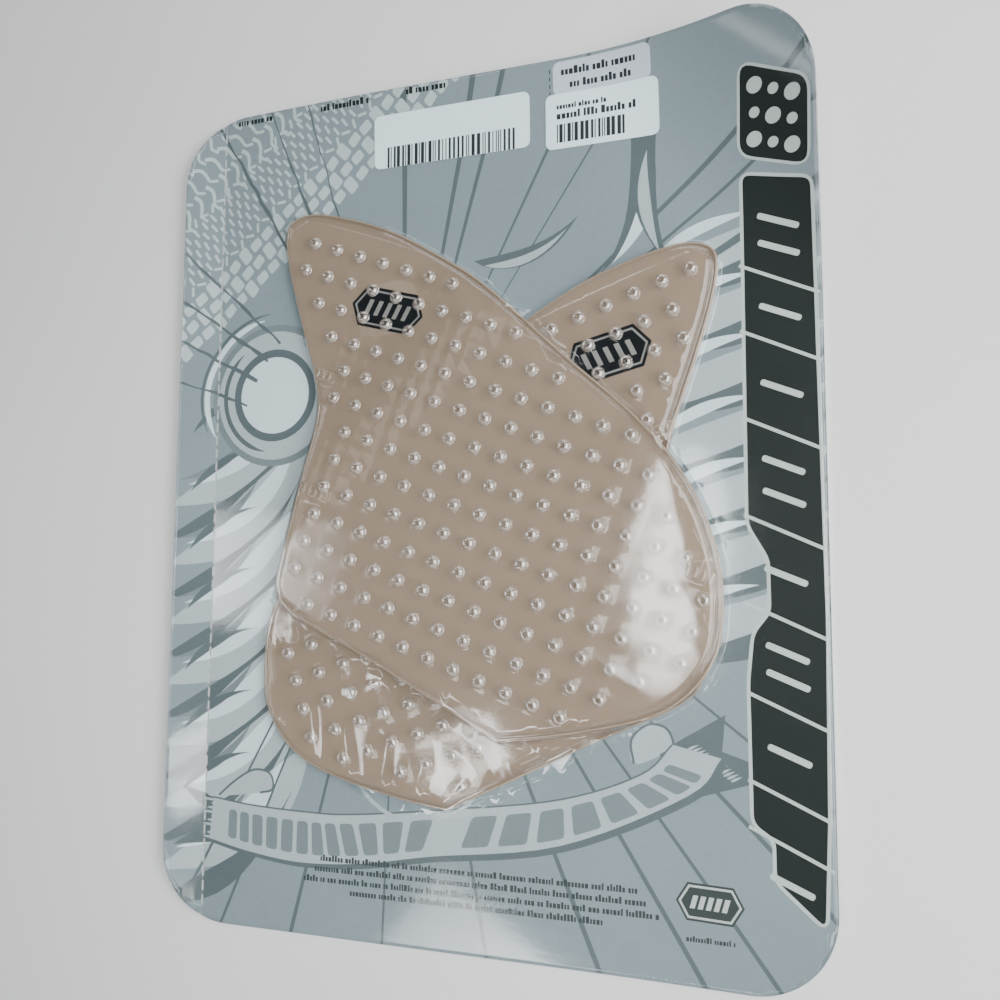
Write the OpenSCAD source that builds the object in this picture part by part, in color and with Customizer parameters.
// A carded pair of self-adhesive traction pads: a printed backing card with a
// tear-off strip, two mirrored nubbed pads that lie across each other, the film
// that holds them to the card, and the stickers. The card lies on its back.
// X runs across the card, Y up it and Z out of its printed front. The origin is
// the middle of the whole card, on its back face. Sizes are in millimetres.

/* [Card] */
// Width of the whole card, tear strip included
card_w = 238; // [232:1:260]
// Height of the card
card_h = 305; // [300:1:330]
// Thickness of the board
card_t = 0.6; // [0.4:0.1:1]
// Radius of the card's corners
corner_r = 26; // [20:1:30]

/* [Tear strip] */
// Width of the strip beyond the perforation
strip_w = 16.2; // [10:0.1:17]
// How far the strip is folded forward at rest, in degrees
strip_angle = 10; // [0:1:20]
// Length of one cut of the perforation
slit_l = 3.2; // [1:0.1:4]
// Distance from one cut to the next
slit_pitch = 5; // [4.5:0.1:8]
// Width of one cut
slit_w = 0.4; // [0.2:0.1:0.8]

/* [Warp of the card] */
// Rise of the top right corner, at the sharp corner that the rounding cuts off
curl_top_right = 22.8; // [0:0.1:24]
// Rise of the bottom right corner, measured the same way
curl_bottom_right = 3.3; // [0:0.1:6]
// Rise of the top edge along its middle
curl_top_edge = 1.8; // [0:0.1:3]

/* [Pads] */
// Thickness of a pad's sheet
pad_t = 1.5; // [1:0.1:2]
// Thickness of the adhesive under it
adhesive_t = 0.25; // [0.1:0.05:0.4]
// Thickness of the release liner
liner_t = 0.1; // [0.1:0.05:0.2]
// Height of a nub above the sheet
nub_h = 1.8; // [1:0.1:2.2]
// Diameter of a nub at its foot
nub_base_d = 4.8; // [4:0.1:6]
// Diameter of a nub at its top
nub_top_d = 3.2; // [2.5:0.1:4]
// Distance between the nubs of a row
nub_pitch = 10; // [9:0.1:12]
// Distance between the rows
row_pitch = 10.4; // [9:0.1:12]
// Bare rim between the outermost nub centres and the pad's edge
nub_rim = 5.2; // [5:0.1:8]

/* [Places of the pads] */
// Middle of the front pad
front_at = [0.5, 8];
// Turn of the front pad, in degrees
front_turn = -20.8; // [-23:0.1:-18]
// Middle of the rear pad
rear_at = [10, -17];
// Turn of the rear pad, which is the mirror image of the front one
rear_turn = 19; // [17:0.1:21]

/* [Badges and moulded tabs] */
// Length of a badge
badge_l = 30; // [20:1:32]
// Height of a badge
badge_w = 15; // [10:1:17]
// Length of a moulded tab
tab_l = 13; // [8:1:16]
// Width of a moulded tab
tab_w = 4.5; // [3:0.5:6]
// Height of a moulded tab above the sheet
tab_h = 0.3; // [0.2:0.1:0.5]

/* [Film and stickers] */
// Thickness of the film
film_t = 0.12; // [0.1:0.01:0.2]
// Width of the slope where the film comes down beside a pad
film_slope = 8; // [7:0.5:8]
// Thickness of a sticker
sticker_t = 0.1; // [0.08:0.01:0.15]

/* [Hidden] */
$fn = 64;

fold_x = -card_w/2 + strip_w;     // the perforation
fold_z = card_t + film_t;         // the fold's axis lies on top of the film
tear_gap = 0.05;                  // between the strip's ties and the panel

rear_z = card_t;                                  // underside of the rear pad's liner
pad_stack = liner_t + adhesive_t + pad_t;
front_z = rear_z + pad_stack + nub_h + 0.05;      // underside of the front pad's liner
rear_film_z = rear_z + pad_stack + nub_h + 0.15;
front_film_z = front_z + pad_stack + nub_h + 0.1;

film_reach = 6;                   // how far the raised film runs past a pad's edge
film_slack = 0.25;                // room for the sticker under the film where the card curls

corner_start = 0.64;              // where a corner's curl starts, from 0 in the middle to 1
edge_start = 0.8;                 // where the top edge's curl starts, as a share of half the height
arc_x = card_w/2 - corner_r;      // where the corners' rounding starts
arc_steps = 5;

// Stickers: middle, size and corner radius
model_label_at = [48.7, 145.6];
model_label_size = [34.6, 11.6];
barcode_label_at = [-7.5, 133.1];
barcode_label_size = [60.4, 20];
part_label_at = [48.5, 130.4];
part_label_size = [39.8, 19.6];
label_r = 2.4;

// Badge middle and turn on each pad, and moulded tab places, in a pad's own axes
badge_turn = 5;
front_badge_at = [-51.5, 46];
rear_badge_at = [-59, 47];
TABS = [[-53, -25], [87, -4], [-68, 16]];

// First nub of each pad's grid, in the pad's own axes
front_grid = [0.8, -0.9];
rear_grid = [-3.7, 0.3];

// Outline of a pad, in its own axes: long narrow lobe to the left, broad tail to the right
PAD = [[-103, 64], [-98, 70.5], [-86, 73.5], [-62, 74], [-38, 70], [-16, 64], [20, 49],
       [52, 36], [74, 22], [90, 4], [98.5, -15], [100, -30], [94, -45], [80, -58], [48, -77],
       [36, -78], [-12, -72], [-42, -69], [-53, -63], [-56, -50], [-60, -22], [-63, 0],
       [-70, 14], [-86, 35], [-98, 52]];

// ---- Curves and distances -------------------------------------------------

// Closed smooth curve through a list of points
function smooth(points, steps) =
    let (n = len(points))
    [for (i = [0:n - 1], k = [0:steps - 1])
        let (a = points[(i + n - 1) % n], b = points[i], c = points[(i + 1) % n],
             d = points[(i + 2) % n], t = k/steps)
        (2*b + (c - a)*t + (2*a - 5*b + 4*c - d)*t*t + (3*b - a - 3*c + d)*t*t*t)/2];

function clamp(v) = max(0, min(1, v));

function gap_to_segment(p, a, b) =
    let (ab = b - a, t = clamp((p - a)*ab/(ab*ab)))
    norm(p - a - t*ab);

function crosses(p, a, b) =
    (a.y > p.y) != (b.y > p.y) && p.x < a.x + (b.x - a.x)*(p.y - a.y)/(b.y - a.y) ? 1 : 0;

// Distance from a point to an outline, negative inside it
function outline_distance(p, outline) =
    let (n = len(outline),
         gaps = [for (i = [0:n - 1]) gap_to_segment(p, outline[i], outline[(i + 1) % n])],
         hits = [for (i = [0:n - 1]) crosses(p, outline[i], outline[(i + 1) % n])],
         ones = [for (h = hits) 1])
    (hits*ones) % 2 == 1 ? -min(gaps) : min(gaps);

// A pad point in the card's axes; hand is -1 on the mirrored pad
function placed(p, at, turn, hand) =
    let (x = p.x*hand, y = p.y)
    at + [x*cos(turn) - y*sin(turn), x*sin(turn) + y*cos(turn)];

// ---- The card's surface ---------------------------------------------------

// Half height of the card at x, less at its rounded corners
function half_height(x) =
    let (into = max(0, abs(x) - arc_x))
    card_h/2 - corner_r + sqrt(max(0, corner_r*corner_r - into*into));

// How far a point is towards the top right corner, or the bottom right one with sy = -1
function cornerwards(p, sy) = p.x/card_w + sy*p.y/card_h;

function edgewards(p) = 2*p.y/card_h;

// Rises from 0 at the start to 1 at the corner or edge, ever steeper
function curve_up(v, start) = pow(clamp((v - start)/(1 - start)), 2);

// Rise of the card's back above the surface it lies on; it fades out towards the fold
function curl(p) =
    curl_top_right*curve_up(cornerwards(p, 1), corner_start)
    + curl_bottom_right*curve_up(cornerwards(p, -1), corner_start)
    + curl_top_edge*curve_up(edgewards(p), edge_start)*clamp((p.x - fold_x)/60);

// Room that opens between the card and what lies on it, just before the card curls
function lead(v, start) = clamp((v - start + 0.1)/0.1);

function slack(p) =
    film_slack*clamp((p.x - fold_x)/20)*max(lead(cornerwards(p, 1), corner_start),
        lead(cornerwards(p, -1), corner_start), lead(edgewards(p), edge_start));

// Height of the film's underside above the card: flat, with a raised part over each pad
function tent(p, outline, top) =
    let (t = clamp((outline_distance(p, outline) - film_reach)/film_slope))
    (top - card_t)*(1 - t*t*(3 - 2*t));

// ---- Bent sheets ----------------------------------------------------------

// Columns [x, lowest y, highest y] of a rounded rectangle
function label_columns(at, size, r) =
    let (steps = 3, middle = 6, x0 = at.x - size.x/2, x1 = at.x + size.x/2,
         y0 = at.y - size.y/2, y1 = at.y + size.y/2)
    concat(
        [for (k = [0:steps]) let (a = 90*k/steps)
            [x0 + r - r*cos(a), y0 + r - r*sin(a), y1 - r + r*sin(a)]],
        [for (k = [1:middle - 1]) [x0 + r + (size.x - 2*r)*k/middle, y0, y1]],
        [for (k = [steps:-1:0]) let (a = 90*k/steps)
            [x1 - r + r*cos(a), y0 + r - r*sin(a), y1 - r + r*sin(a)]]);

// The x of columns from x0 to the card's right edge, closer together at the rounding
function columns_right(x0, steps) =
    concat([for (k = [0:steps]) x0 + (arc_x - x0)*k/steps],
           [for (k = [1:arc_steps]) arc_x + corner_r*sin(90*k/arc_steps)]);

// The x of columns from the perforation to the right edge
function columns_across(steps) =
    concat([fold_x, (fold_x - arc_x)/2], columns_right(-arc_x, steps));

// A sheet of even thickness over the columns; under(p) is the height of its underside
module bent_sheet(columns, rows, thickness, under) {
    n = len(columns);
    side = n*(rows + 1);
    points = [for (s = [0, 1], c = columns, j = [0:rows])
        let (p = [c[0], c[1] + (c[2] - c[1])*j/rows])
        [p.x, p.y, under(p) + s*thickness]];
    function at(s, i, j) = s*side + i*(rows + 1) + j;
    faces = concat(
        [for (i = [0:n - 2], j = [0:rows - 1], k = [0, 1])
            k == 0 ? [at(1, i, j), at(1, i, j + 1), at(1, i + 1, j + 1)]
                   : [at(1, i, j), at(1, i + 1, j + 1), at(1, i + 1, j)]],
        [for (i = [0:n - 2], j = [0:rows - 1], k = [0, 1])
            k == 0 ? [at(0, i, j), at(0, i + 1, j + 1), at(0, i, j + 1)]
                   : [at(0, i, j), at(0, i + 1, j), at(0, i + 1, j + 1)]],
        [for (i = [0:n - 2], e = [0, 1]) let (j = e*rows)
            e == 0 ? [at(0, i, j), at(1, i, j), at(1, i + 1, j), at(0, i + 1, j)]
                   : [at(0, i, j), at(0, i + 1, j), at(1, i + 1, j), at(1, i, j)]],
        [for (j = [0:rows - 1], e = [0, 1]) let (i = e*(n - 1))
            e == 0 ? [at(0, i, j), at(0, i, j + 1), at(1, i, j + 1), at(1, i, j)]
                   : [at(0, i, j), at(1, i, j), at(1, i, j + 1), at(0, i, j + 1)]]);
    polyhedron(points, faces, convexity = 6);
}

module label(at, size, under) {
    bent_sheet(label_columns(at, size, label_r), 6, sticker_t, under);
}

// ---- Card -----------------------------------------------------------------

// The curled parts start on two straight lines: one below the top right corner and the
// top edge, and one above the bottom right corner. A patch is bent beyond its line, and
// its first row of cells is still flat, where it runs into the flat core.
edge_x = card_w/2;
top_line_y = edge_start*card_h/2;
top_line_x = (corner_start - top_line_y/card_h)*card_w;
line_end_y = (corner_start - 0.5)*card_h;
low_line_x = 26;
low_line_y = -card_h/2 + 8;
patch_rows = 10;
seam = 0.02;                      // a patch is this much inside the core's faces

// The line from a to b, at x
function on_line(x, a, b) = a.y + (b.y - a.y)*(x - a.x)/(b.x - a.x);

function top_line(x) =
    x < top_line_x ? top_line_y : on_line(x, [top_line_x, top_line_y], [edge_x, line_end_y]);

function low_line(x) = on_line(x, [low_line_x, low_line_y], [edge_x, -line_end_y]);

// From the card's edge over the line, by one row
function past_line(edge_y, line_y) = line_y + (line_y - edge_y)/(patch_rows - 1);

module card_core() {
    linear_extrude(card_t)
        polygon([[fold_x, -half_height(fold_x)], [(fold_x - arc_x)/2, -half_height((fold_x - arc_x)/2)],
                 [-arc_x, -card_h/2], [low_line_x + 1, seam - card_h/2],
                 [low_line_x + 1, low_line_y + 1.5], [edge_x - seam, 2 - line_end_y],
                 [edge_x - seam, line_end_y - 2], [top_line_x, top_line_y - 1.5],
                 [fold_x + seam, top_line_y - 1.5]]);
}

module card_patch(columns) {
    bent_sheet(columns, patch_rows, card_t - 2*seam, function(p) curl(p) + seam);
}

// A flat core, with a bent patch along the top and one at the bottom right corner
module card_panel() {
    across = concat([fold_x, (fold_x - arc_x)/2], columns_right(-arc_x, 24));
    color("lightslategray") {
        card_core();
        card_patch([for (x = across)
            [x, past_line(half_height(x), top_line(x)), half_height(x)]]);
        card_patch([for (x = columns_right(low_line_x, 9))
            [x, -half_height(x), past_line(-half_height(x), low_line(x))]]);
    }
}

// Outline of the strip as it lies flat, its inner edge on the perforation
module strip_outline() {
    inner_x = fold_x - tear_gap;
    start = asin((-inner_x - arc_x)/corner_r);
    upper = [for (k = [0:arc_steps]) let (a = start + (90 - start)*k/arc_steps)
        [-arc_x - corner_r*sin(a), card_h/2 - corner_r + corner_r*cos(a)]];
    lower = [for (k = [arc_steps:-1:0]) [upper[k].x, -upper[k].y]];
    polygon(concat(upper, lower));
}

// Swings what lies on the strip about the fold to its angle at rest
module folded() {
    translate([fold_x, 0, fold_z]) rotate([0, strip_angle, 0]) translate([-fold_x, 0, -fold_z])
        children();
}

module tear_strip() {
    count = floor((2*half_height(fold_x) - slit_l)/slit_pitch);
    color("slategray")
        folded()
            difference() {
                linear_extrude(card_t) strip_outline();
                for (i = [0:count - 1])
                    translate([fold_x - slit_w, (i - (count - 1)/2)*slit_pitch - slit_l/2, -1])
                        cube([1, slit_l, card_t + 2]);
            }
}

// ---- Film -----------------------------------------------------------------

module skin_film() {
    front_edge = [for (p = PAD) placed(p, front_at, front_turn, 1)];
    rear_edge = [for (p = PAD) placed(p, rear_at, rear_turn, -1)];
    color("azure", 0.3)
        bent_sheet([for (x = columns_across(26)) [x, -half_height(x), half_height(x)]], 38, film_t,
            function(p) card_t + curl(p) + slack(p)
                + max(tent(p, front_edge, front_film_z), tent(p, rear_edge, rear_film_z)));
}

module strip_film() {
    color("azure", 0.3)
        folded()
            translate([0, 0, card_t]) linear_extrude(film_t) strip_outline();
}

// ---- Stickers -------------------------------------------------------------

module model_label() {
    color("lightsteelblue")
        label(model_label_at, model_label_size, function(p) card_t + curl(p) + 0.45*slack(p));
}

module barcode_label() {
    color("white")
        label(barcode_label_at, barcode_label_size,
            function(p) card_t + film_t + curl(p) + 1.8*slack(p));
}

module part_label() {
    color("white")
        label(part_label_at, part_label_size,
            function(p) card_t + film_t + curl(p) + 1.8*slack(p));
}

// ---- Pads -----------------------------------------------------------------

module front_place() {
    translate([front_at.x, front_at.y, front_z]) rotate(front_turn) children();
}

module rear_place() {
    translate([rear_at.x, rear_at.y, rear_z]) rotate(rear_turn) mirror([1, 0, 0]) children();
}

module pad_outline() {
    polygon(smooth(PAD, 4));
}

module badge_outline(at) {
    slope = badge_w*0.3;
    translate(at) rotate(badge_turn)
        polygon([[-badge_l/2, 0], [slope - badge_l/2, badge_w/2], [badge_l/2 - slope, badge_w/2],
                 [badge_l/2, 0], [badge_l/2 - slope, -badge_w/2], [slope - badge_l/2, -badge_w/2]]);
}

module liner() {
    linear_extrude(liner_t) pad_outline();
}

// The adhesive is left out under the badge
module adhesive(badge_at) {
    translate([0, 0, liner_t]) linear_extrude(adhesive_t)
        difference() {
            pad_outline();
            badge_outline(badge_at);
        }
}

module badge(badge_at) {
    translate([0, 0, liner_t]) linear_extrude(adhesive_t) badge_outline(badge_at);
}

module nub() {
    sink = 0.2;
    rotate_extrude()
        polygon([[0, -sink], [nub_base_d/2, -sink], [nub_base_d/2, 0], [nub_top_d/2, nub_h], [0, nub_h]]);
}

// Sheet, moulded tabs, and a nub on each grid point that clears the rim
module pad(grid) {
    top = pad_stack;
    edge = smooth(PAD, 2);
    sites = [for (i = [-10:10], j = [-7:7])
        let (p = [grid.x + i*nub_pitch, grid.y + j*row_pitch])
        if (outline_distance(p, edge) < -nub_rim) p];
    translate([0, 0, liner_t + adhesive_t]) linear_extrude(pad_t) pad_outline();
    for (p = sites) translate([p.x, p.y, top]) nub();
    for (t = TABS) translate([t.x - tab_l/2, t.y - tab_w/2, top - 0.1]) cube([tab_l, tab_w, tab_h + 0.1]);
}

module front_pad() { color("tan") front_place() pad(front_grid); }
module front_pad_adhesive() { color("ivory") front_place() adhesive(front_badge_at); }
module front_pad_liner() { color("peru") front_place() liner(); }
module front_pad_badge() { color("black") front_place() badge(front_badge_at); }

module rear_pad() { color("tan") rear_place() pad(rear_grid); }
module rear_pad_adhesive() { color("ivory") rear_place() adhesive(rear_badge_at); }
module rear_pad_liner() { color("peru") rear_place() liner(); }
module rear_pad_badge() { color("black") rear_place() badge(rear_badge_at); }

card_panel();
tear_strip();
skin_film();
strip_film();
model_label();
barcode_label();
part_label();
front_pad();
front_pad_adhesive();
front_pad_liner();
front_pad_badge();
rear_pad();
rear_pad_adhesive();
rear_pad_liner();
rear_pad_badge();
